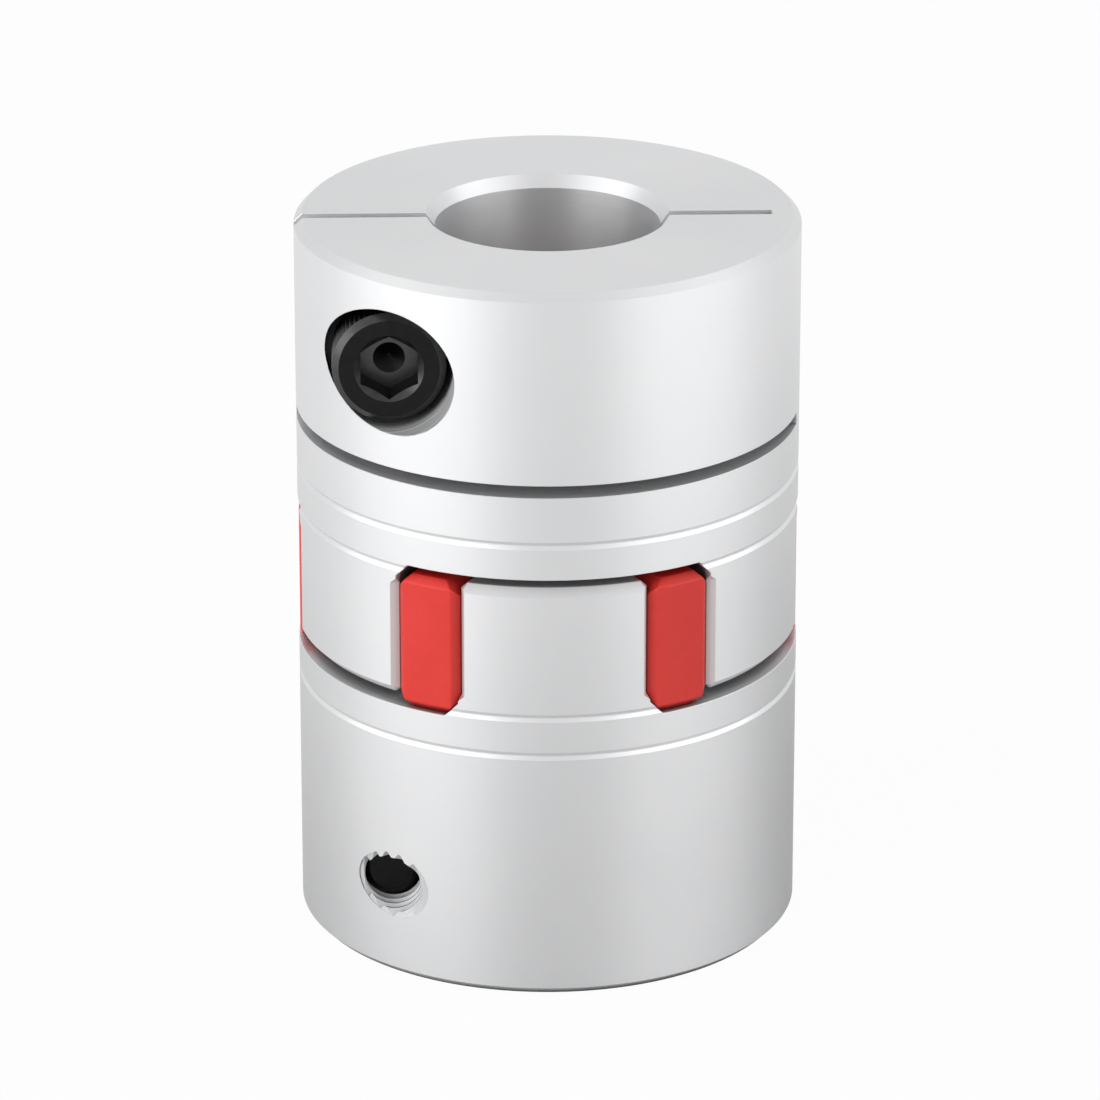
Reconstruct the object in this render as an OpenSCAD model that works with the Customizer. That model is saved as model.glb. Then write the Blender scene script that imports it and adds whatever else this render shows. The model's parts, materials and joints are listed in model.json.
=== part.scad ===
// Flexible jaw coupling: two clamping hubs, an elastic spider between their jaws, and two cap screws.
// The coupling stands on the lower hub's outer face, with its axis on Z and the clamp slits along X.

/* [Coupling] */
// Outside diameter of both hubs
outer_d = 45; // [42:0.5:60]
// Length of a hub from its outer face to the root of its jaws
hub_l = 26.25; // [23:0.25:40]
// Distance between the inner faces of the two hubs
hub_gap = 13.5; // [10:0.5:20]
// Chamfer round the rim of each outer face
rim_chamfer = 0.75; // [0.2:0.05:2]

/* [Bores] */
// Shaft bore of the upper hub
upper_bore_d = 20; // [8:0.5:21]
// Shaft bore of the lower hub
lower_bore_d = 20; // [8:0.5:21]
// Width of the steep chamfer at the mouth of each bore
bore_chamfer = 0.8; // [0.2:0.1:2]
// Depth of that chamfer
bore_lead_in = 1.2; // [0.2:0.1:3]
// Chamfer at the inner end of each bore
bore_inner_chamfer = 0.5; // [0.1:0.1:1]

/* [Jaws] */
// Number of jaws on each hub
jaw_count = 3; // [2:1:4]
// Radial thickness of a jaw
jaw_wall = 10; // [6:0.5:11]
// Gap between the tip of a jaw and the face of the other hub
tip_clearance = 0.9; // [0.5:0.1:3]
// Width of the space that two neighbouring jaws leave for an arm of the spider
slot_w = 6.2; // [4:0.1:9]
// Chamfer that fills the corner at the root of a jaw's side
jaw_root_chamfer = 1.3; // [0.3:0.1:2.5]
// Chamfer on the upright outer edges of a jaw
jaw_edge_chamfer = 0.75; // [0.1:0.05:1.5]
// Chamfer round the outside of a jaw's tip
jaw_tip_chamfer = 0.8; // [0.2:0.1:2]
// Lead-in chamfer on the sides of a jaw's tip
jaw_lead_in = 0.5; // [0.1:0.1:1.5]

/* [Grooves] */
// Width of the two turned grooves on each hub
groove_w = 0.8; // [0.4:0.05:1.6]
// Depth of the grooves
groove_depth = 0.25; // [0.1:0.05:1]
// Distance of the first groove's middle from the jaw roots, towards the tips
groove_rise = 0.45; // [0.4:0.05:2]
// Distance of the second groove from the first
groove_pitch = 3.6; // [2:0.1:4]

/* [Spider] */
// Free play of the spider between the two hub faces
spider_play = 0.9; // [0.1:0.1:2]
// Diameter of the hole through the spider
spider_hole_d = 18; // [6:0.5:20]
// Clearance between the spider's ring and the inside of the jaws
ring_clearance = 0.3; // [0.1:0.1:1]
// Clearance between an arm and the jaw on each side of it
arm_fit = 0.05; // [0.02:0.01:0.3]
// Extra clearance between an arm's long edges and the jaw roots
root_clearance = 0.05; // [0.02:0.01:0.5]
// Depth of the arm ends below the outside of the hubs
arm_recess = 0.1; // [0.1:0.1:3]
// Chamfer on the upper and lower edges of the arm ends
arm_end_chamfer = 0.7; // [0.2:0.1:2]
// Chamfer on the upright edges of the arm ends
arm_corner_chamfer = 0.6; // [0.2:0.05:2]

/* [Clamp] */
// Width of the clamping band, from the outer face to the relief slot
clamp_l = 17.5; // [14:0.5:20]
// Width of the slit that lets the clamp close
slit_w = 1.2; // [0.6:0.1:2.4]
// Distance of the slit's middle from the axis, towards the screw head
slit_offset = 0.6; // [0:0.1:1]
// Thickness of the hinge left at the closed end of the slit
hinge_web = 2.65; // [1.5:0.05:6]
// Width of the sawn relief slot behind the clamping band
relief_w = 1.1; // [0.6:0.1:2]
// Diameter of the saw that cuts the relief slot
saw_d = 100; // [60:1:160]
// How far the relief slot ends past the axis on the open side
relief_open_end = 0.5; // [0.2:0.1:3]
// How far the relief slot ends short of the axis on the hinge side
relief_hinge_end = 4.6; // [2:0.1:8]

/* [Clamp screws] */
// Thread diameter of a clamp screw
screw_d = 6; // [4:0.5:7]
// Length of a clamp screw under its head
screw_l = 25; // [20:1:27]
// Distance of a screw's axis from the coupling's axis
screw_offset = 14.2; // [13.6:0.1:16]
// Distance of the seat under the head from the coupling's axis plane
head_seat = 10.4; // [8:0.1:12]
// Diameter of the screw head
head_d = 10; // [8:0.1:11]
// Height of the screw head
head_h = 6; // [4:0.1:8]
// Chamfer round the top of the screw head
head_chamfer = 0.6; // [0.2:0.1:1]
// Hexagon key size across the flats
key_af = 5; // [3:0.5:6]
// Depth of the hexagon socket
key_depth = 3; // [2:0.1:4]
// How far the chamfer at the socket's mouth reaches past its corners
socket_lead = 0.15; // [0.05:0.05:0.5]
// Ledge left round the drilled bottom of the socket
socket_ledge = 1.1; // [0.1:0.1:1.5]
// Chamfer on the tip of the screw
screw_tip_chamfer = 0.7; // [0.2:0.1:1]
// Clearance round the head in its counterbore
head_clearance = 0.6; // [0.2:0.1:0.8]
// Clearance round the screw in the half that it passes through
hole_clearance = 0.3; // [0.1:0.05:0.5]
// Clearance round the screw in the half that it is threaded into
thread_fit = 0.05; // [0.02:0.01:0.2]

/* [Hidden] */

$fn = 96;
aluminium = [0.84, 0.85, 0.86];
polyurethane = [0.86, 0.22, 0.18];
black_steel = [0.11, 0.11, 0.12];

// How far a cutting shape goes past the surface that it cuts
overcut = 1;
// A length that goes past the whole coupling from its axis
reach = 2 * outer_d;
// Turn of an edge's chamfer from the side that it breaks
chamfer_turn = 45;

outer_r = outer_d / 2;
overall_l = 2 * hub_l + hub_gap;

jaw_tip_z = hub_l + hub_gap - tip_clearance;
jaw_inner_r = outer_r - jaw_wall;
// Angle from the middle of a jaw, or of the gap beside it, to the middle of an arm
half_pitch = 90 / jaw_count;
// Direction of the first gap between the lower hub's jaws, and of the upper hub's before it is turned over
lower_gap_turn = 90;
upper_gap_turn = -(lower_gap_turn + 180 / jaw_count);

spider_h = hub_gap - spider_play;
ring_r = jaw_inner_r - ring_clearance;
arm_r = outer_r - arm_recess;
arm_w = slot_w - 2 * arm_fit;
arm_edge_chamfer = jaw_root_chamfer + root_clearance;

screw_z = clamp_l / 2;
// Cone angle of the drilled bottom of the hexagon socket, and of the chamfer at its mouth
socket_cone = 120;
hexagon = 6;
socket_corner_r = key_af / 2 / cos(180 / hexagon);
socket_mouth_r = socket_corner_r + socket_lead;
socket_drill_r = key_af / 2 - socket_ledge;

// Distance along an arm at which a side of the given half width meets a circle of the given radius
function chord_end(radius, half_w) = sqrt(radius * radius - half_w * half_w);

// Height of a cone of the given radius with the socket's cone angle
function cone_h(radius) = radius / tan(socket_cone / 2);

// One V groove in the outline of a hub, with its bottom at height z
function groove(z) = [
    [outer_r, z - groove_w / 2],
    [outer_r - groove_depth, z],
    [outer_r, z + groove_w / 2]
];

// The hub as it leaves the lathe: bore, chamfers, grooves and a plain ring where the jaws will be
module turned_blank(bore_d) {
    bore_r = bore_d / 2;
    rotate_extrude()
        polygon(concat(
            [
                [bore_r + bore_chamfer, 0],
                [outer_r - rim_chamfer, 0],
                [outer_r, rim_chamfer]
            ],
            groove(hub_l + groove_rise - groove_pitch),
            groove(hub_l + groove_rise),
            [
                [outer_r, jaw_tip_z - jaw_tip_chamfer],
                [outer_r - jaw_tip_chamfer, jaw_tip_z],
                [jaw_inner_r, jaw_tip_z],
                [jaw_inner_r, hub_l],
                [bore_r + bore_inner_chamfer, hub_l],
                [bore_r, hub_l - bore_inner_chamfer],
                [bore_r, bore_lead_in]
            ]
        ));
}

// Stretches an outline of across-and-up points along X, past the coupling on both sides
module along_arm() {
    rotate([90, 0, 90])
        linear_extrude(2 * reach, center = true)
            children();
}

// Space on the arm's side of a jaw whose side runs along X, with the root corner and the lead-in at the tip
module jaw_side(root_chamfer) {
    side = slot_w / 2;
    top = jaw_tip_z + overcut;
    along_arm()
        polygon([
            [-reach, hub_l],
            [side - root_chamfer, hub_l],
            [side, hub_l + root_chamfer],
            [side, jaw_tip_z - jaw_lead_in],
            [side + jaw_lead_in + overcut, top],
            [-reach, top]
        ]);
}

// The same space with the jaw's upright outer edge chamfered, turned to one side of the gap.
// The root corner of that chamfer is larger, so that it runs out through the outside of the hub.
module gap_half() {
    side = slot_w / 2;
    edge_x = chord_end(outer_r, side) - jaw_edge_chamfer;
    rotate(half_pitch) {
        jaw_side(jaw_root_chamfer);
        translate([edge_x, side])
            rotate(chamfer_turn)
                translate([0, -side])
                    jaw_side(jaw_root_chamfer + jaw_edge_chamfer);
    }
}

// What the mill removes between the jaws of one hub
module jaw_gaps(gap_turn) {
    for (i = [0 : jaw_count - 1])
        rotate(gap_turn + i * 360 / jaw_count)
            intersection() {
                gap_half();
                mirror([0, 1, 0])
                    gap_half();
            }
}

// Slit along X that opens the clamping band on the -X side
module clamp_slit() {
    translate([-outer_r - overcut, slit_offset - slit_w / 2, -overcut])
        cube([2 * outer_r - hinge_web + overcut, slit_w, clamp_l + relief_w + overcut]);
}

// Slot sawn across the screw head's half, which frees that half from the rest of the hub
module relief_slot() {
    open_end = [-chord_end(outer_r, relief_open_end), -relief_open_end];
    hinge_end = [chord_end(outer_r, relief_hinge_end), relief_hinge_end];
    chord = hinge_end - open_end;
    half_chord = norm(chord) / 2;
    inwards = [-chord.y, chord.x] / norm(chord);
    saw_centre = (open_end + hinge_end) / 2 + inwards * chord_end(saw_d / 2, half_chord);
    translate([saw_centre.x, saw_centre.y, clamp_l])
        cylinder(h = relief_w, d = saw_d);
}

// Places a shape whose Z axis is the screw's axis, with the head end towards +Y and the slit's middle at 0
module at_screw() {
    translate([-screw_offset, slit_offset, screw_z])
        rotate([-90, 0, 0])
            children();
}

// Threaded hole, clearance hole and counterbore for the clamp screw
module screw_holes() {
    seat = head_seat - slit_offset;
    at_screw() {
        translate([0, 0, -reach])
            cylinder(h = reach, d = screw_d + 2 * thread_fit);
        cylinder(h = seat, d = screw_d + 2 * hole_clearance);
        translate([0, 0, seat])
            cylinder(h = reach, d = head_d + 2 * head_clearance);
    }
}

// A whole hub, standing on its outer face with the jaws upwards
module hub(bore_d, gap_turn) {
    difference() {
        turned_blank(bore_d);
        jaw_gaps(gap_turn);
        clamp_slit();
        relief_slot();
        screw_holes();
    }
}

// Turns a shape of the lower hub over to become the same shape of the upper hub
module turned_over() {
    translate([0, 0, overall_l])
        rotate([180, 0, 0])
            children();
}

module lower_hub() {
    color(aluminium)
        hub(lower_bore_d, lower_gap_turn);
}

module upper_hub() {
    color(aluminium)
        turned_over()
            hub(upper_bore_d, upper_gap_turn);
}

// Cross-section of an arm, with its four long edges chamfered
module arm_section() {
    half_w = arm_w / 2;
    half_h = spider_h / 2;
    polygon([
        for (corner = [[1, 1], [-1, 1], [-1, -1], [1, -1]])
            let (
                end = [corner.x * half_w, corner.y * (half_h - arm_edge_chamfer)],
                flat = [corner.x * (half_w - arm_edge_chamfer), corner.y * half_h]
            )
            each corner.x * corner.y > 0 ? [end, flat] : [flat, end]
    ]);
}

// Plan of an arm along X: straight sides, then two faces at 45 degrees that chamfer its end
module arm_plan() {
    half_w = arm_w / 2;
    corner_x = chord_end(arm_r, half_w) - arm_corner_chamfer;
    polygon([
        [0, -half_w],
        [corner_x, -half_w],
        [corner_x + half_w, 0],
        [corner_x, half_w],
        [0, half_w]
    ]);
}

module spider_arm() {
    intersection() {
        along_arm()
            arm_section();
        linear_extrude(spider_h, center = true)
            arm_plan();
    }
}

// Round envelope that gives the arm ends their curve and their upper and lower chamfers
module arm_envelope() {
    half_h = spider_h / 2;
    rotate_extrude()
        polygon([
            [0, -half_h],
            [arm_r - arm_end_chamfer, -half_h],
            [arm_r, -half_h + arm_end_chamfer],
            [arm_r, half_h - arm_end_chamfer],
            [arm_r - arm_end_chamfer, half_h],
            [0, half_h]
        ]);
}

// The moulded spider, which rests on the lower hub's inner face
module spider() {
    color(polyurethane)
        translate([0, 0, hub_l + spider_h / 2])
            difference() {
                union() {
                    cylinder(h = spider_h, r = ring_r, center = true);
                    intersection() {
                        for (i = [0 : 2 * jaw_count - 1])
                            rotate(lower_gap_turn + half_pitch * (2 * i + 1))
                                spider_arm();
                        arm_envelope();
                    }
                }
                cylinder(h = spider_h + 2 * overcut, d = spider_hole_d, center = true);
            }
}

// Hexagon socket with its corners up and down, a chamfered mouth and a drilled bottom
module key_socket() {
    mouth_h = cone_h(socket_mouth_r);
    drill_h = cone_h(socket_drill_r);
    rotate(90)
        translate([0, 0, -key_depth])
            cylinder(h = key_depth + overcut, r = socket_corner_r, $fn = hexagon);
    translate([0, 0, -mouth_h])
        cylinder(h = mouth_h, r1 = 0, r2 = socket_mouth_r);
    translate([0, 0, -key_depth - drill_h])
        cylinder(h = drill_h, r1 = 0, r2 = socket_drill_r);
}

// Socket head cap screw along Z, with the underside of its head at 0
module cap_screw() {
    screw_r = screw_d / 2;
    head_r = head_d / 2;
    difference() {
        rotate_extrude()
            polygon([
                [0, -screw_l],
                [screw_r - screw_tip_chamfer, -screw_l],
                [screw_r, -screw_l + screw_tip_chamfer],
                [screw_r, 0],
                [head_r, 0],
                [head_r, head_h - head_chamfer],
                [head_r - head_chamfer, head_h],
                [0, head_h]
            ]);
        translate([0, 0, head_h])
            key_socket();
    }
}

// The cap screw in the lower hub's clamp
module seated_screw() {
    at_screw()
        translate([0, 0, head_seat - slit_offset])
            cap_screw();
}

module lower_clamp_screw() {
    color(black_steel)
        seated_screw();
}

module upper_clamp_screw() {
    color(black_steel)
        turned_over()
            seated_screw();
}

upper_hub();
lower_hub();
spider();
upper_clamp_screw();
lower_clamp_screw();
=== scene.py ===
import json
import math

import bmesh
import bpy
from mathutils import Matrix, Vector


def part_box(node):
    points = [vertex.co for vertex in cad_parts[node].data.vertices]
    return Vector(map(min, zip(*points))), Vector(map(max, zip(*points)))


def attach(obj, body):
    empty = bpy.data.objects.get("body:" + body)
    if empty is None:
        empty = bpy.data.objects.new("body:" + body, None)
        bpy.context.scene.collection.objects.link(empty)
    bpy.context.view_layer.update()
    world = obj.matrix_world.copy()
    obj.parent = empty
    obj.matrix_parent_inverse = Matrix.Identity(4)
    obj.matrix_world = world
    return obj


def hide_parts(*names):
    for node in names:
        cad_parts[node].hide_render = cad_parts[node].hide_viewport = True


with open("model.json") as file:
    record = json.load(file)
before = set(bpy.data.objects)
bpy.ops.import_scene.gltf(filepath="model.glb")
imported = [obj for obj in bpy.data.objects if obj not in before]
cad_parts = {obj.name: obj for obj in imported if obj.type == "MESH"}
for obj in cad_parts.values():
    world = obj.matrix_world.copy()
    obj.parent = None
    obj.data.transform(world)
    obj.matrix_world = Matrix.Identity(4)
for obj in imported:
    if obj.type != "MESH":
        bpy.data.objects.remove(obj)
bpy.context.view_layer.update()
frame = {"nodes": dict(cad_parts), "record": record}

# Dresses the jaw coupling: two turned hubs, the elastic spider between their jaws and two clamp screws
MM = 0.001

# Sizes of the M6 socket head cap screws, in millimetres
head_height = 6.0
head_chamfer = 0.6
bearing_radius = 4.6
bearing_chamfer = 0.35
knurl_depth = 0.14
knurl_ridges = 60
knurl_runout = 0.2
chamfer_sink = 0.03
socket_across_flats = 5.0
socket_depth = 3.0
socket_lead = 0.15
socket_ledge = 1.1
drill_point = 0.8
drill_tip_radius = 0.1
thread_pitch = 1.0
# Part of a turn by which the threads start late, which sets where their grooves meet the outside of a hub
thread_start = 0.4
thread_crest = 2.95
thread_root = 2.42
thread_play = 0.13
tip_chamfer = 0.7
shank_overlap = 0.5

# Flats of the thread as shares of its pitch, and how finely and how far past its ends it is drawn
root_flat = 0.25
crest_flat = 0.125
turn_steps = 40
spare_turns = 2

# Sizes of the hub's finish, in millimetres
hub_edge_break = 0.05
short_edge = 0.05
plug_radius = 3.4
plug_sink = 0.04
plug_segments = 64
cutter_reach_outside = 3.0
cutter_reach_slit = 0.5
facet_sag = 0.06
hole_reach = 6.0
seat_margin = 0.05

# Distances within which points are taken as one, or as lying on a plane, in millimetres
cad_weld = 0.0001
thread_weld = 0.002
cut_margin = 0.0001
rim_margin = 0.001
sliver_width = 0.003

# Angles in degrees up to which faces count as one flat face, and above which an edge counts as sharp
flat_angle = 0.3
sharp_edge_angle = 20

# Shares of a face normal along an axis that tell upright, sloping and level faces apart
upright_share = 0.1
steep_share = 0.5
facing_share = 0.9
level_share = 0.95

# Places of the hub's finishes among its materials; the last paints shade on the seat of the screw's head
TURNED, BORED, MILLED, PAINTED_SHADE_SEAT = range(4)

# Place of the worn, lighter finish among the screw's materials, after the plain black one; its lighter colour
# is partly wear and partly a painted highlight
WORN_AND_HIGHLIGHT = 1

# Size of the spider's moulded edges, in millimetres
spider_edge_radius = 0.12

# How far from a surface others paint shade onto its colour, in millimetres, and how often that is sampled
gap_reach = 1.5
gap_samples = 8

# Painted shade round the coupling in what the metal mirrors of the floor: how far to the right its middle
# lies, and where it begins and ends to turn white, in millimetres
painted_shade_shift = 40.0
painted_shade_fade_start = 20.0
painted_shade_fade_end = 235.0

# White floor: half its width in metres, its depth under the coupling in millimetres, and its share of white
floor_half_width = 2.0
floor_sink = 0.02
floor_white_share = 0.97

# Strength of the white world as a light, and as it is seen
world_light = 0.7
world_seen = 1.0

# Camera: angles in degrees, distance in metres, and its lens and the height of its aim in millimetres
camera_azimuth = -1.55
camera_elevation = 21.5
camera_distance = 0.6171
sensor_width = 36
lens_length = 223.8
lens_shift = 0.0021
aim_height = 33.78

# Soft boxes: distance in metres, and the size of the two large ones
lamp_distance = 0.75
large_box_width = 0.95
large_box_height = 0.44


# Colour and shader helpers

def linear(hex_colour):
    """Turns an sRGB hex colour into the linear colour that shaders take."""
    def channel(start):
        value = int(hex_colour[start:start + 2], 16) / 255
        return value / 12.92 if value <= 0.04045 else ((value + 0.055) / 1.055) ** 2.4
    return (channel(1), channel(3), channel(5), 1.0)


def add(tree, kind, inputs=None, **settings):
    """Adds a shader node, sets its settings, and sets or links its inputs."""
    node = tree.nodes.new(kind)
    for name, value in settings.items():
        setattr(node, name, value)
    for socket, value in (inputs or {}).items():
        if isinstance(value, bpy.types.NodeSocket):
            tree.links.new(value, node.inputs[socket])
        else:
            node.inputs[socket].default_value = value
    return node


def new_material(name):
    """Starts an empty node material and returns it with its node tree."""
    material = bpy.data.materials.new(name)
    material.use_nodes = True
    material.node_tree.nodes.clear()
    return material, material.node_tree


def per_mm(size):
    """Gives the texture scale at which one cell of a pattern is this many millimetres wide."""
    return 1 / (size * MM)


# Materials

def painted_shade_in_gaps(tree, deep, clear, least_open, most_open):
    """Paints shade into the colour: blends from a clear colour to a dark one where other surfaces close in,
    so that slots look dark.
    """
    openness = add(tree, "ShaderNodeAmbientOcclusion", {"Distance": gap_reach * MM},
                   samples=gap_samples)
    share = add(tree, "ShaderNodeMapRange", {"Value": openness.outputs["AO"], "From Min": least_open,
                                             "From Max": most_open})
    return add(tree, "ShaderNodeMix", {"Factor": share.outputs["Result"], "A": linear(deep), "B": clear},
               data_type="RGBA")


def turned_aluminium(name, dark, light, least_rough, most_rough, stretch, ridge_height):
    """Aluminium turned on a lathe and clear anodised: a pale, satin grey metal.
    The fine rings left by the tool draw its highlights out along the axis."""
    material, tree = new_material(name)
    place = add(tree, "ShaderNodeTexCoord").outputs["Object"]
    parts = add(tree, "ShaderNodeSeparateXYZ", {0: place})
    across = add(tree, "ShaderNodeCombineXYZ", {"X": parts.outputs["X"], "Y": parts.outputs["Y"]})
    radius = add(tree, "ShaderNodeVectorMath", {0: across.outputs[0]}, operation="LENGTH")
    # The sum of radius and height changes across the tool marks on sides, faces and chamfers alike
    path = add(tree, "ShaderNodeMath", {0: radius.outputs["Value"], 1: parts.outputs["Z"]}, operation="ADD")
    # Real feed marks are 0.1 mm apart and wouldn't show, so they are drawn at 0.3 mm
    marks = add(tree, "ShaderNodeTexNoise", {"W": path.outputs[0], "Scale": per_mm(0.3), "Detail": 3.0},
                noise_dimensions="1D")
    clouds = add(tree, "ShaderNodeTexNoise", {"Vector": place, "Scale": per_mm(9), "Detail": 3.0})
    unshaded = add(tree, "ShaderNodeMix", {"Factor": clouds.outputs["Fac"], "A": linear(dark),
                                        "B": linear(light)}, data_type="RGBA")
    # Painted shade: the colour darkens to #3A3A3A where other surfaces close in, in slots and gaps
    tone = painted_shade_in_gaps(tree, "#3A3A3A", unshaded.outputs["Result"], 0.1, 0.5)
    sheen = add(tree, "ShaderNodeMapRange", {"Value": marks.outputs["Fac"], "To Min": least_rough,
                                             "To Max": most_rough})
    ridges = add(tree, "ShaderNodeBump", {"Height": marks.outputs["Fac"], "Strength": 0.2,
                                          "Distance": ridge_height * MM})
    rings = add(tree, "ShaderNodeTangent", direction_type="RADIAL", axis="Z")
    shader = add(tree, "ShaderNodeBsdfPrincipled", {
        "Base Color": tone.outputs["Result"],
        "Metallic": 1.0,
        "Roughness": sheen.outputs["Result"],
        "Anisotropic": stretch,
        "Anisotropic Rotation": 0.25,
        "Tangent": rings.outputs["Tangent"],
        "Normal": ridges.outputs["Normal"],
    })
    add(tree, "ShaderNodeOutputMaterial", {"Surface": shader.outputs[0]})
    return material


def milled_aluminium(name, dark, light):
    """Aluminium left by a mill, saw or drill and clear anodised: a dull grey metal.
    The tool leaves rings round the holes."""
    material, tree = new_material(name)
    place = add(tree, "ShaderNodeTexCoord").outputs["Object"]
    # Tool marks run round the screw holes, so they change along Y
    # Real ones are 0.1 mm apart and wouldn't show at this slant, so they are drawn at 0.6 mm
    depth = add(tree, "ShaderNodeSeparateXYZ", {0: place}).outputs["Y"]
    marks = add(tree, "ShaderNodeTexNoise", {"W": depth, "Scale": per_mm(0.6), "Detail": 2.0},
                noise_dimensions="1D")
    unshaded = add(tree, "ShaderNodeMix", {"Factor": marks.outputs["Fac"], "A": linear(dark),
                                        "B": linear(light)}, data_type="RGBA")
    # Painted shade: the colour darkens to #3A3A3A where other surfaces close in, in slots and gaps
    tone = painted_shade_in_gaps(tree, "#3A3A3A", unshaded.outputs["Result"], 0.1, 0.5)
    sheen = add(tree, "ShaderNodeMapRange", {"Value": marks.outputs["Fac"], "To Min": 0.6, "To Max": 0.8})
    ridges = add(tree, "ShaderNodeBump", {"Height": marks.outputs["Fac"], "Strength": 1.0,
                                          "Distance": 0.2 * MM})
    shader = add(tree, "ShaderNodeBsdfPrincipled", {
        "Base Color": tone.outputs["Result"],
        "Metallic": 1.0,
        "Roughness": sheen.outputs["Result"],
        "Normal": ridges.outputs["Normal"],
    })
    add(tree, "ShaderNodeOutputMaterial", {"Surface": shader.outputs[0]})
    return material


def moulded_polyurethane():
    """Polyurethane moulded in a blasted steel mould: red, matt, and slightly see-through at thin edges. Its
    red is painted deeper as shade where the hubs close in over it.
    """
    material, tree = new_material("moulded red polyurethane")
    place = add(tree, "ShaderNodeTexCoord").outputs["Object"]
    clouds = add(tree, "ShaderNodeTexNoise", {"Vector": place, "Scale": per_mm(4), "Detail": 4.0})
    grain = add(tree, "ShaderNodeTexNoise", {"Vector": place, "Scale": per_mm(0.35), "Detail": 3.0})
    clear = add(tree, "ShaderNodeMix", {"Factor": clouds.outputs["Fac"], "A": linear("#CE2A22"),
                                        "B": linear("#DA3830")}, data_type="RGBA")
    # Painted shade: the red deepens to #A81008 where other surfaces close in, as under the hubs
    tone = painted_shade_in_gaps(tree, "#A81008", clear.outputs["Result"], 0.4, 0.9)
    sheen = add(tree, "ShaderNodeMapRange", {"Value": grain.outputs["Fac"], "To Min": 0.42, "To Max": 0.62})
    dimples = add(tree, "ShaderNodeBump", {"Height": grain.outputs["Fac"], "Strength": 0.25,
                                           "Distance": 0.03 * MM})
    shader = add(tree, "ShaderNodeBsdfPrincipled", {
        "Base Color": tone.outputs["Result"],
        "Roughness": sheen.outputs["Result"],
        "IOR": 1.5,
        "Subsurface Weight": 0.12,
        "Subsurface Radius": (1.0, 0.25, 0.2),
        "Subsurface Scale": 0.8 * MM,
        "Normal": dimples.outputs["Normal"],
    })
    add(tree, "ShaderNodeOutputMaterial", {"Surface": shader.outputs[0]})
    return material


def black_steel(name, dark, light, least_rough, most_rough):
    """Steel blackened in hot oxide salts and oiled: near black, satin, with faint mottling."""
    material, tree = new_material(name)
    place = add(tree, "ShaderNodeTexCoord").outputs["Object"]
    mottle = add(tree, "ShaderNodeTexNoise", {"Vector": place, "Scale": per_mm(0.7), "Detail": 4.0})
    tone = add(tree, "ShaderNodeMix", {"Factor": mottle.outputs["Fac"], "A": linear(dark),
                                       "B": linear(light)}, data_type="RGBA")
    sheen = add(tree, "ShaderNodeMapRange", {"Value": mottle.outputs["Fac"], "To Min": least_rough,
                                             "To Max": most_rough})
    pits = add(tree, "ShaderNodeBump", {"Height": mottle.outputs["Fac"], "Strength": 0.15,
                                        "Distance": 0.02 * MM})
    shader = add(tree, "ShaderNodeBsdfPrincipled", {
        "Base Color": tone.outputs["Result"],
        "Metallic": 1.0,
        "Roughness": sheen.outputs["Result"],
        "Normal": pits.outputs["Normal"],
    })
    add(tree, "ShaderNodeOutputMaterial", {"Surface": shader.outputs[0]})
    return material


# Mesh helpers

def make_object(name, shape):
    """Turns a bmesh into an object at the origin."""
    mesh = bpy.data.meshes.new(name)
    shape.to_mesh(mesh)
    shape.free()
    piece = bpy.data.objects.new(name, mesh)
    bpy.context.scene.collection.objects.link(piece)
    return piece


def smooth_curves(piece, sharp_angle):
    """Shades curves smooth and leaves every edge sharp that turns by more than the angle.
    Normals that came with a CAD mesh no longer fit its new edges, so they are dropped."""
    old_normals = piece.data.attributes.get("custom_normal")
    if old_normals:
        piece.data.attributes.remove(old_normals)
    piece.data.polygons.foreach_set("use_smooth", [True] * len(piece.data.polygons))
    piece.data.set_sharp_from_angle(angle=math.radians(sharp_angle))


def true_round(piece, radius, finish):
    """Gives the faces of a turned cylinder its finish and the normals of a true cylinder.
    Without these normals, the holes and slots would dent its shine."""
    mesh = piece.data
    normals = [corner.vector.copy() for corner in mesh.corner_normals]
    for face in mesh.polygons:
        points = [mesh.vertices[index].co for index in face.vertices]
        off_round = any(abs(point.xy.length - radius) > facet_sag * MM for point in points)
        if off_round or abs(face.normal.z) > steep_share:
            continue
        face.material_index = finish
        outwards = 1 if face.normal.xy.dot(points[0].xy) > 0 else -1
        for corner, point in zip(face.loop_indices, points):
            normals[corner] = Vector((point.x, point.y, 0)).normalized() * outwards
    mesh.normals_split_custom_set(normals)


def drop_folded_faces(shape):
    """Removes faces that lie back to back on the same points, which a closed sliver leaves behind."""
    by_points = {}
    for face in shape.faces:
        by_points.setdefault(frozenset(face.verts), []).append(face)
    folded = [face for faces in by_points.values() if len(faces) > 1 for face in faces]
    bmesh.ops.delete(shape, geom=folded, context="FACES")


def combine(piece, tool, operation):
    """Joins a tool shape to a piece or cuts it away, and removes the tool and any slivers that are left."""
    modifier = piece.modifiers.new("combine", "BOOLEAN")
    modifier.object = tool
    modifier.operation = operation
    modifier.solver = "EXACT"
    graph = bpy.context.evaluated_depsgraph_get()
    finished = bpy.data.meshes.new_from_object(piece.evaluated_get(graph))
    shape = bmesh.new()
    shape.from_mesh(finished)
    bmesh.ops.triangulate(shape, faces=shape.faces)
    bmesh.ops.dissolve_degenerate(shape, dist=sliver_width * MM, edges=shape.edges)
    drop_folded_faces(shape)
    shape.to_mesh(finished)
    shape.free()
    piece.modifiers.clear()
    piece.data = finished
    bpy.data.objects.remove(tool)


def hand_in(piece, node, slot, *materials):
    """Puts a finished piece in the place of its CAD node."""
    for material in materials:
        piece.data.materials.append(material)
    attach(piece, "root")
    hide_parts(node)


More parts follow.
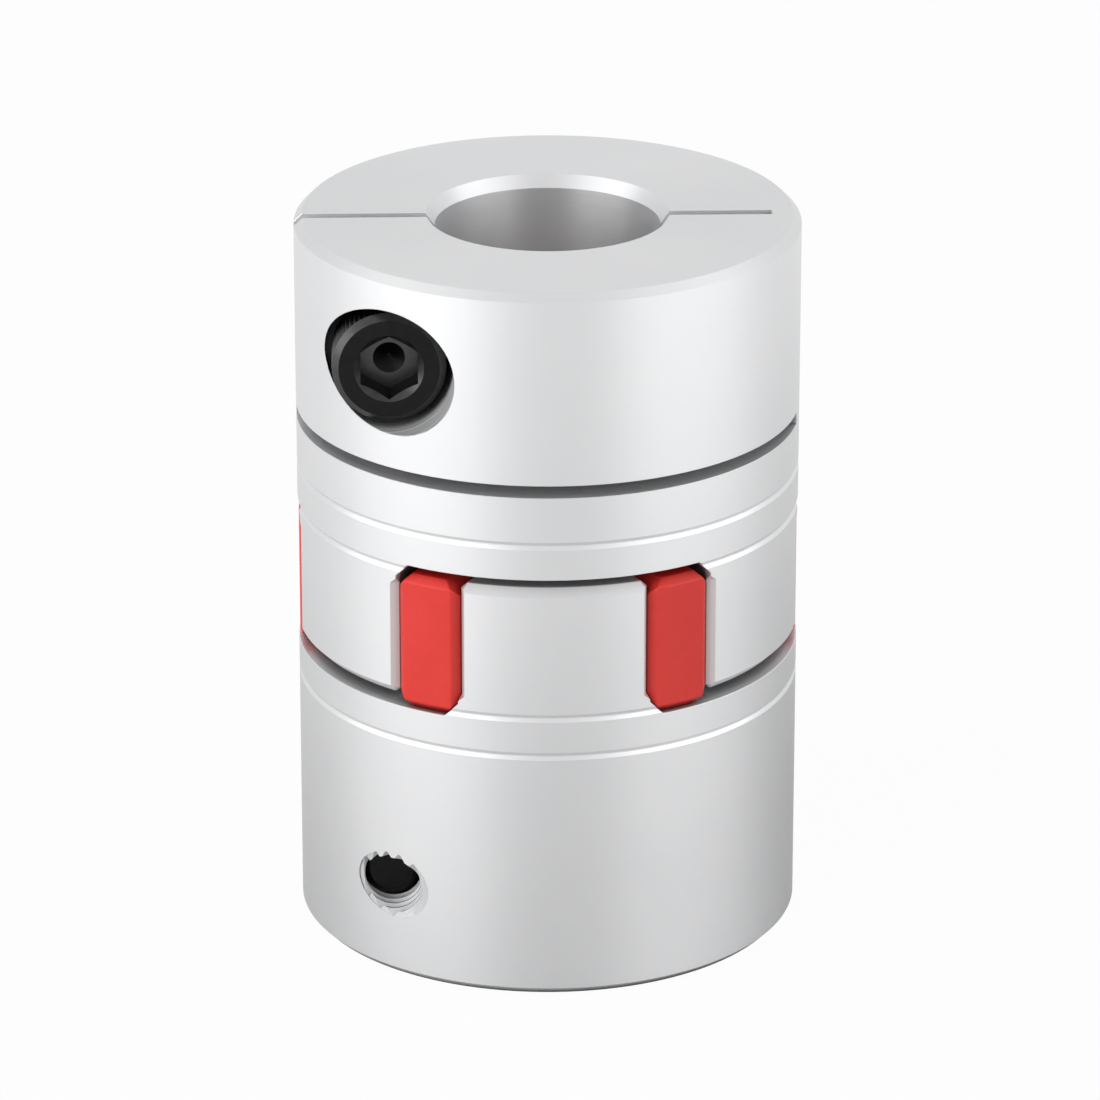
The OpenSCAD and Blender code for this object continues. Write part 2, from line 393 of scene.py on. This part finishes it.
def cad_copy(node):
    """Copies a CAD node's mesh, merged into one skin with its flat faces whole."""
    shape = bmesh.new()
    shape.from_mesh(frame["nodes"][node].data)
    bmesh.ops.remove_doubles(shape, verts=shape.verts, dist=cad_weld * MM)
    bmesh.ops.dissolve_limit(shape, angle_limit=math.radians(flat_angle), verts=shape.verts,
                             edges=shape.edges)
    return shape


def break_edges(shape, size, segments, spared=lambda point: False):
    """Takes the sharpness off every edge of a shape, apart from those at points that are spared."""
    bmesh.ops.dissolve_degenerate(shape, dist=short_edge * MM, edges=shape.edges)
    least_angle = math.radians(sharp_edge_angle)
    sharp = [edge for edge in shape.edges if edge.is_manifold and edge.calc_face_angle() > least_angle
             and not any(spared(vert.co) for vert in edge.verts)]
    bmesh.ops.bevel(shape, geom=sharp, offset=size * MM, offset_type="OFFSET", affect="EDGES",
                    segments=segments, profile=0.5, material=-1, clamp_overlap=False)


# Screws

def screw_place(node, head_side):
    """Gives the transform from a screw's own axis, seat at zero and head upwards, to its place."""
    low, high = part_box(node)
    middle = (low + high) / 2
    face = high.y if head_side > 0 else low.y
    seat = face - head_side * head_height * MM
    turn = Matrix.Rotation(-head_side * math.radians(90), 4, "X")
    return Matrix.Translation((middle.x, seat, middle.z)) @ turn @ Matrix.Scale(MM, 4)


def screw_length(node):
    """Gives the length under the head in millimetres."""
    low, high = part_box(node)
    return (high.y - low.y) / MM - head_height


def thread(crest, root, bottom, top):
    """Makes a closed rod with a right-hand thread between two heights on its own axis.
    Rods made with the same pitch are in step, so a screw fits the hole that another rod cuts."""
    shape = bmesh.new()
    first_turn = math.floor(bottom / thread_pitch) - spare_turns
    turns = math.ceil((top - bottom) / thread_pitch) + 2 * spare_turns + 1
    start = (first_turn + thread_start) * thread_pitch
    crest_start = root_flat + (1 - root_flat - crest_flat) / 2
    crest_end = crest_start + crest_flat
    profile = [(root, 0), (root, root_flat), (crest, crest_start), (crest, crest_end), (root, 1)]
    points = [shape.verts.new((radius, 0, start + step * thread_pitch)) for radius, step in profile]
    line = [shape.edges.new(pair) for pair in zip(points, points[1:])]
    bmesh.ops.spin(shape, geom=points + line, cent=(0, 0, 0), axis=(0, 0, 1),
                   dvec=(0, 0, thread_pitch / turn_steps), angle=math.tau * turns,
                   steps=turn_steps * turns, use_merge=False, use_duplicate=False)
    bmesh.ops.remove_doubles(shape, verts=shape.verts, dist=thread_weld)
    for height, side in ((bottom, -1), (top, 1)):
        everything = shape.verts[:] + shape.edges[:] + shape.faces[:]
        bmesh.ops.bisect_plane(shape, geom=everything, dist=cut_margin, plane_co=(0, 0, height),
                               plane_no=(0, 0, side), clear_outer=True)
        rim = [edge for edge in shape.edges
               if edge.is_boundary and all(abs(v.co.z - height) < rim_margin for v in edge.verts)]
        bmesh.ops.contextual_create(shape, geom=rim)
    bmesh.ops.recalc_face_normals(shape, faces=shape.faces)
    return shape


def next_ring(shape, ring, radius_at, height_at):
    """Draws a ring of edges out to the next ring, whose radius and height depend on the angle."""
    made = bmesh.ops.extrude_edge_only(shape, edges=ring)["geom"]
    new_points = {item for item in made if isinstance(item, bmesh.types.BMVert)}
    for point in new_points:
        angle = math.atan2(point.co.y, point.co.x)
        radius = radius_at(angle)
        point.co = (radius * math.cos(angle), radius * math.sin(angle), height_at(angle))
    return [item for item in made
            if isinstance(item, bmesh.types.BMEdge) and all(v in new_points for v in item.verts)]


def hexagon(angle):
    """Gives the radius of the socket's hexagon at an angle."""
    sector = math.radians(60)
    return socket_across_flats / 2 / math.cos((angle + sector / 2) % sector - sector / 2)


def knurl(head_radius):
    """Gives the head's radius at an angle, ridge by ridge."""
    def radius_at(angle):
        ridge = round(angle / math.tau * knurl_ridges * 2) % 2
        return head_radius - knurl_depth * ridge
    return radius_at


def even(value):
    """Gives the same radius or height at every angle."""
    return lambda angle: value


def cap_screw_head(head_radius):
    """Makes a knurled head with a chamfer and a hexagon socket, seat at zero."""
    shape = bmesh.new()
    bmesh.ops.create_circle(shape, cap_ends=True, radius=thread_crest, segments=knurl_ridges * 2)
    ring = shape.edges[:]
    mouth = hexagon(math.radians(30)) + socket_lead
    floor = head_height - socket_depth
    ledge = socket_across_flats / 2 - socket_ledge
    body = knurl(head_radius)
    steps = [
        (even(bearing_radius), even(0)),
        (body, even(bearing_chamfer)),
        (body, even(head_height - head_chamfer - knurl_runout)),
        (even(head_radius - chamfer_sink), even(head_height - head_chamfer)),
        (even(head_radius - head_chamfer), even(head_height)),
        (even(mouth), even(head_height)),
        (hexagon, lambda angle: head_height - mouth + hexagon(angle)),
        (hexagon, even(floor)),
        (even(ledge), even(floor)),
        (even(drill_tip_radius), even(floor - drill_point)),
    ]
    for radius_at, height_at in steps:
        ring = next_ring(shape, ring, radius_at, height_at)
    bmesh.ops.contextual_create(shape, geom=ring)
    bmesh.ops.recalc_face_normals(shape, faces=shape.faces)
    return shape


def mark_worn_and_highlight_faces(screw, place):
    """Gives the worn, lighter finish to the head's chamfer, and to the mouth and the flat floor of the
    socket. The lighter colour is partly wear and partly a painted highlight.
    """
    to_axis = place.inverted()
    for face in screw.data.polygons:
        slope = abs((to_axis.to_3x3() @ face.normal).normalized().z)
        height = (to_axis @ face.center).z
        is_chamfer = upright_share < slope < level_share and height > head_height - head_chamfer
        on_floor = abs(height - head_height + socket_depth) < seat_margin
        is_socket_floor = slope > level_share and on_floor
        if is_chamfer or is_socket_floor:
            face.material_index = WORN_AND_HIGHLIGHT


def cap_screw(name, node, place):
    """Makes a whole screw in its place: the head, and the threaded shank with its chamfered tip."""
    low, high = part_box(node)
    head = cap_screw_head((high.x - low.x) / 2 / MM)
    tip = -screw_length(node)
    shank = thread(thread_crest, thread_root, tip + tip_chamfer, shank_overlap)
    end = min(shank.faces, key=lambda face: face.calc_center_median().z)
    bmesh.ops.inset_region(shank, faces=[end], thickness=tip_chamfer, depth=tip_chamfer)
    for shape in (head, shank):
        bmesh.ops.transform(shape, matrix=place, verts=shape.verts)
    screw = make_object(name, head)
    combine(screw, make_object("shank", shank), "UNION")
    smooth_curves(screw, sharp_angle=25)
    mark_worn_and_highlight_faces(screw, place)
    return screw


# Hubs

def hole_plug(place, outer_radius):
    """Makes the metal that the thread is cut in: a plug in the hole that ends just inside the hub's skin."""
    shape = bmesh.new()
    length = outer_radius / MM
    bmesh.ops.create_cone(shape, cap_ends=True, cap_tris=True, segments=plug_segments,
                          radius1=plug_radius, radius2=plug_radius, depth=length)
    bmesh.ops.transform(shape, matrix=place @ Matrix.Translation((0, 0, -length)), verts=shape.verts)
    skin = outer_radius - plug_sink * MM
    far_side = 1 if place.translation.y < 0 else -1
    for point in shape.verts:
        if far_side * point.co.y > outer_radius / 2:
            point.co.y = far_side * math.sqrt(skin ** 2 - point.co.x ** 2)
        else:
            point.co.y = far_side * plug_sink * MM
    return make_object("plug", shape)


def thread_cutter(place, outer_radius):
    """Makes the rod that cuts the thread, from the slit to well outside the hub."""
    slit_side = -abs(place.translation.y) / MM
    shape = thread(thread_crest + thread_play, thread_root + thread_play,
                   slit_side - outer_radius / MM - cutter_reach_outside, slit_side + cutter_reach_slit)
    bmesh.ops.transform(shape, matrix=place, verts=shape.verts)
    return make_object("cutter", shape)


def in_screw_hole(place, radius):
    """Gives a test of whether a point lies within a radius of the screw's axis."""
    to_screw = place.inverted()
    return lambda point: (to_screw @ point).xy.length < radius


def mark_cut_faces(hub, place):
    """Gives the milled finish to the faces in the screw's hole and to upright faces that don't face the axis.
    The seat of the screw's head gets a near-black finish, which paints the shade of the deep gap round the
    head."""
    in_hole = in_screw_hole(place, hole_reach)
    to_screw = place.inverted()
    for face in hub.data.polygons:
        upright = abs(face.normal.z) < steep_share
        faces_axis = abs(face.normal.xy.dot(face.center.xy.normalized())) > facing_share
        # The seat is painted near-black as shade
        if in_hole(face.center) and abs((to_screw @ face.center).z) < seat_margin:
            face.material_index = PAINTED_SHADE_SEAT
        elif in_hole(face.center) or (upright and not faces_axis):
            face.material_index = MILLED


def clamp_hub(name, node, place):
    """Makes a hub with broken edges and a real thread in its tapped half."""
    outer_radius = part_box(node)[1].x
    shape = cad_copy(node)
    break_edges(shape, hub_edge_break, segments=1, spared=in_screw_hole(place, plug_radius))
    hub = make_object(name, shape)
    combine(hub, hole_plug(place, outer_radius), "UNION")
    combine(hub, thread_cutter(place, outer_radius), "DIFFERENCE")
    smooth_curves(hub, sharp_angle=15)
    mark_cut_faces(hub, place)
    true_round(hub, outer_radius, TURNED)
    true_round(hub, bore_radius, BORED)
    return hub


def elastic_spider(name, node):
    """Makes the spider with the small edge radii of its mould."""
    shape = cad_copy(node)
    break_edges(shape, spider_edge_radius, segments=2)
    spider = make_object(name, shape)
    smooth_curves(spider, sharp_angle=50)
    shading = spider.modifiers.new("even shading", "WEIGHTED_NORMAL")
    shading.keep_sharp = True
    return spider


# Stage

def white_world():
    """Lights the scene softly from all sides, and shows white to the camera and in reflections."""
    world = bpy.data.worlds.new("white studio")
    bpy.context.scene.world = world
    world.use_nodes = True
    tree = world.node_tree
    tree.nodes.clear()
    ray = add(tree, "ShaderNodeLightPath")
    seen = add(tree, "ShaderNodeMath", {0: ray.outputs["Is Camera Ray"], 1: ray.outputs["Is Glossy Ray"]},
               operation="MAXIMUM")
    shown = add(tree, "ShaderNodeMath", {0: seen.outputs[0], 1: ray.outputs["Is Transmission Ray"]},
                operation="MAXIMUM")
    strength = add(tree, "ShaderNodeMapRange", {"Value": shown.outputs[0], "To Min": world_light,
                                                "To Max": world_seen})
    sky = add(tree, "ShaderNodeBackground", {"Strength": strength.outputs["Result"]})
    add(tree, "ShaderNodeOutputWorld", {"Surface": sky.outputs[0]})


def white_floor():
    """Lays a matt grey card that looks white and keeps a faint shadow under the coupling.
    Metal mirrors a white glow on it that fades out near the coupling, which paints shade there, and the grey
    card shows through. This painted shade lies to the right, so the left of the coupling is painted lighter."""
    shape = bmesh.new()
    bmesh.ops.create_grid(shape, x_segments=1, y_segments=1, size=floor_half_width)
    bmesh.ops.translate(shape, vec=(0, 0, -floor_sink * MM), verts=shape.verts)
    floor = make_object("floor", shape)
    material, tree = new_material("matt white card")
    ray = add(tree, "ShaderNodeLightPath")
    place = add(tree, "ShaderNodeTexCoord").outputs["Object"]
    # Painted shade: the white that glossy rays see fades out towards a point right of the coupling
    reach = add(tree, "ShaderNodeVectorMath", {0: place, 1: (painted_shade_shift * MM, 0, 0)}, operation="DISTANCE")
    fade = add(tree, "ShaderNodeMapRange", {
        "Value": reach.outputs["Value"],
        "From Min": painted_shade_fade_start * MM,
        "From Max": painted_shade_fade_end * MM,
    }, interpolation_type="SMOOTHSTEP")
    mirrored = add(tree, "ShaderNodeMath", {0: ray.outputs["Is Glossy Ray"],
                                            1: ray.outputs["Is Transmission Ray"]}, operation="MAXIMUM")
    faded = add(tree, "ShaderNodeMath", {0: mirrored.outputs[0], 1: fade.outputs["Result"]},
                operation="MULTIPLY")
    seen = add(tree, "ShaderNodeMath", {0: ray.outputs["Is Camera Ray"], 1: faded.outputs[0]},
               operation="MAXIMUM")
    share = add(tree, "ShaderNodeMath", {0: seen.outputs[0], 1: floor_white_share}, operation="MULTIPLY")
    card = add(tree, "ShaderNodeBsdfDiffuse", {"Color": linear("#B8B8B8")})
    white = add(tree, "ShaderNodeEmission", {"Strength": 1.0})
    both = add(tree, "ShaderNodeMixShader", {0: share.outputs[0], 1: card.outputs[0], 2: white.outputs[0]})
    add(tree, "ShaderNodeOutputMaterial", {"Surface": both.outputs[0]})
    floor.data.materials.append(material)


def aim(item, azimuth, elevation, distance):
    """Puts a lamp or camera round the coupling and aims it there.
    Azimuth 0 is in front, and grows to the right."""
    around = math.radians(azimuth)
    up = math.radians(elevation)
    outwards = Vector((math.sin(around) * math.cos(up), -math.cos(around) * math.cos(up), math.sin(up)))
    item.location = Vector((0, 0, aim_height * MM)) + outwards * distance
    item.rotation_euler = outwards.to_track_quat("Z", "Y").to_euler()


def soft_box(name, azimuth, elevation, width, height, radiance):
    """Hangs a soft box of a size in metres that faces the coupling."""
    data = bpy.data.lights.new(name, "AREA")
    data.shape = "RECTANGLE"
    data.size = width
    data.size_y = height
    data.energy = math.pi * radiance * width * height
    lamp = bpy.data.objects.new(name, data)
    bpy.context.scene.collection.objects.link(lamp)
    aim(lamp, azimuth, elevation, lamp_distance)
    return lamp


def set_camera():
    """Stands the camera where the photograph was taken, with a long lens."""
    data = bpy.data.cameras.new("camera")
    data.sensor_width = sensor_width
    data.lens = lens_length
    data.shift_x = lens_shift
    camera = bpy.data.objects.new("camera", data)
    bpy.context.scene.collection.objects.link(camera)
    aim(camera, camera_azimuth, camera_elevation, camera_distance)
    bpy.context.scene.camera = camera


bpy.context.scene.view_settings.view_transform = "Standard"
set_camera()
white_world()
white_floor()
soft_box("left_soft_box", azimuth=-60, elevation=16, width=large_box_width, height=large_box_height,
         radiance=2.0)
soft_box("right_soft_box", azimuth=64, elevation=16, width=large_box_width, height=large_box_height,
         radiance=1.65)
# The fill lights what is matt, and leaves the two bands on the metal as they are
fill = soft_box("left_fill", azimuth=-50, elevation=35, width=0.6, height=0.6, radiance=2.2)
fill.visible_glossy = False

hub_finishes = [
    turned_aluminium("turned clear-anodised aluminium", "#E8E9EA", "#EEEEEF", 0.42, 0.52, 0.5, 0.004),
    turned_aluminium("bored clear-anodised aluminium", "#DCDDDE", "#E8E8E9", 0.4, 0.5, 0.75, 0.03),
    milled_aluminium("milled clear-anodised aluminium", "#D6D7D8", "#E4E4E5"),
    # Near-black copy of the milled finish for the seat under the screw head: painted shade of the gap round
    # the head
    milled_aluminium("milled aluminium painted near-black as seat shade", "#2A2A2A", "#3C3C3C"),
]
polyurethane = moulded_polyurethane()
screw_finishes = [
    black_steel("black oxide steel", "#222223", "#2C2C2D", 0.34, 0.5),
    # Lighter copy of the black finish for the chamfer and the socket: partly wear, partly a painted highlight
    black_steel("worn black oxide steel lightened as painted highlight", "#444444", "#5C5C5C", 0.3, 0.45),
]

bore_radius = frame["record"]["mounts"][0]["dims"]["r_mm"] * MM
places = {
    "upper": screw_place("upper_clamp_screw", head_side=-1),
    "lower": screw_place("lower_clamp_screw", head_side=1),
}
for half, place in places.items():
    hub = clamp_hub(f"{half}_hub_finished", f"{half}_hub", place)
    hand_in(hub, f"{half}_hub", "hub", *hub_finishes)
hand_in(elastic_spider("spider_finished", "spider"), "spider", "spider", polyurethane)
for half, place in places.items():
    screw = cap_screw(f"{half}_clamp_screw_finished", f"{half}_clamp_screw", place)
    hand_in(screw, f"{half}_clamp_screw", "screw", *screw_finishes)
